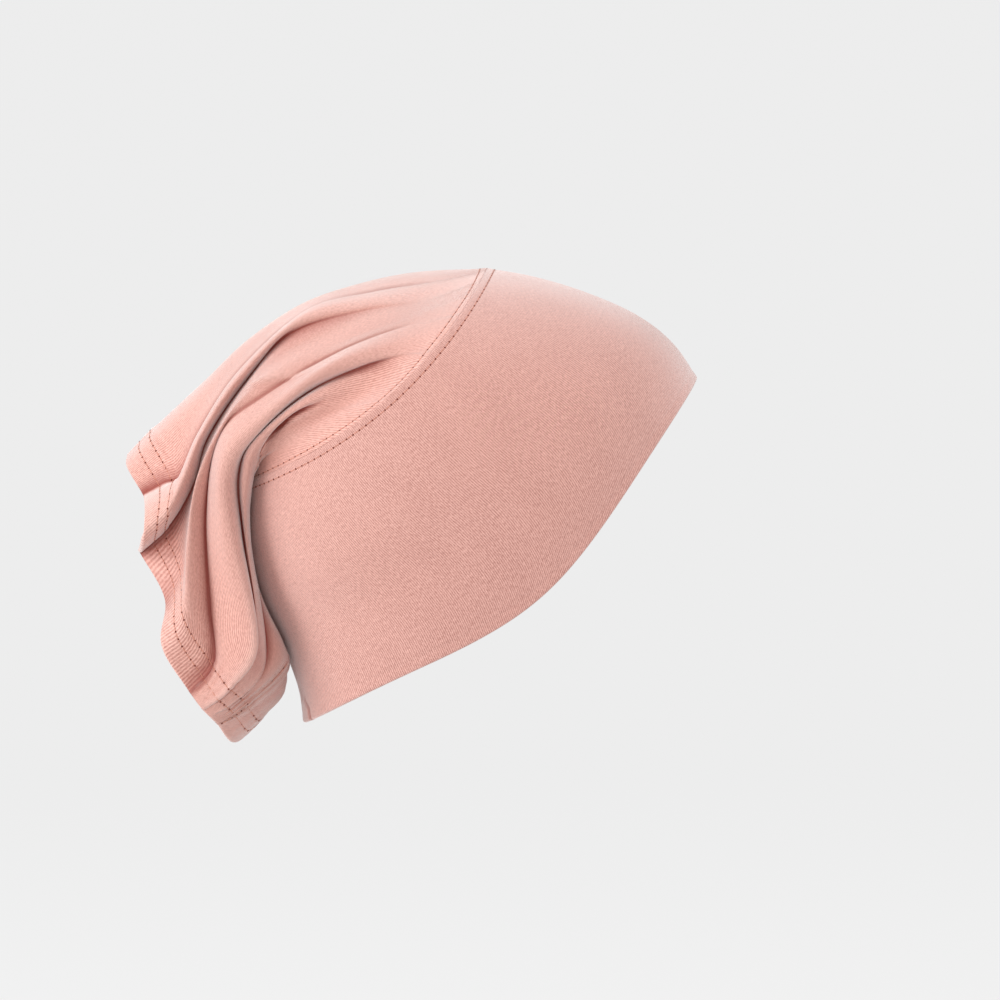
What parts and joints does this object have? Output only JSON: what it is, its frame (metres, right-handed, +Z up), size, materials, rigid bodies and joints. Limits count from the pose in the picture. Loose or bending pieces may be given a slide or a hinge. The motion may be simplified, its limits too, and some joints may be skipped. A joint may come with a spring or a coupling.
{
  "type": "turban cap",
  "caption": "Jersey turban cap: a doubled band round the head, sewn to a pleated tube that droops at the back and ends in an open, turned hem.",
  "frame": {"origin": "middle of the head opening, halfway between the front band's forehead edge and its nape edge", "axes": "the wearer faces -Y, +Z is up, and -X is the wearer's right"},
  "size_m": [0.1546, 0.234, 0.1926],
  "materials": {
    "band_jersey": "matte knitted jersey, dusty pink",
    "tube_jersey": "matte knitted jersey, dusty pink",
    "hem_jersey": "matte knitted jersey, dusty pink"
  },
  "bodies": {
    "root": {"front_band": "band_jersey", "back_tube": "tube_jersey", "tail_hem": "hem_jersey"}
  },
  "joints": []
}
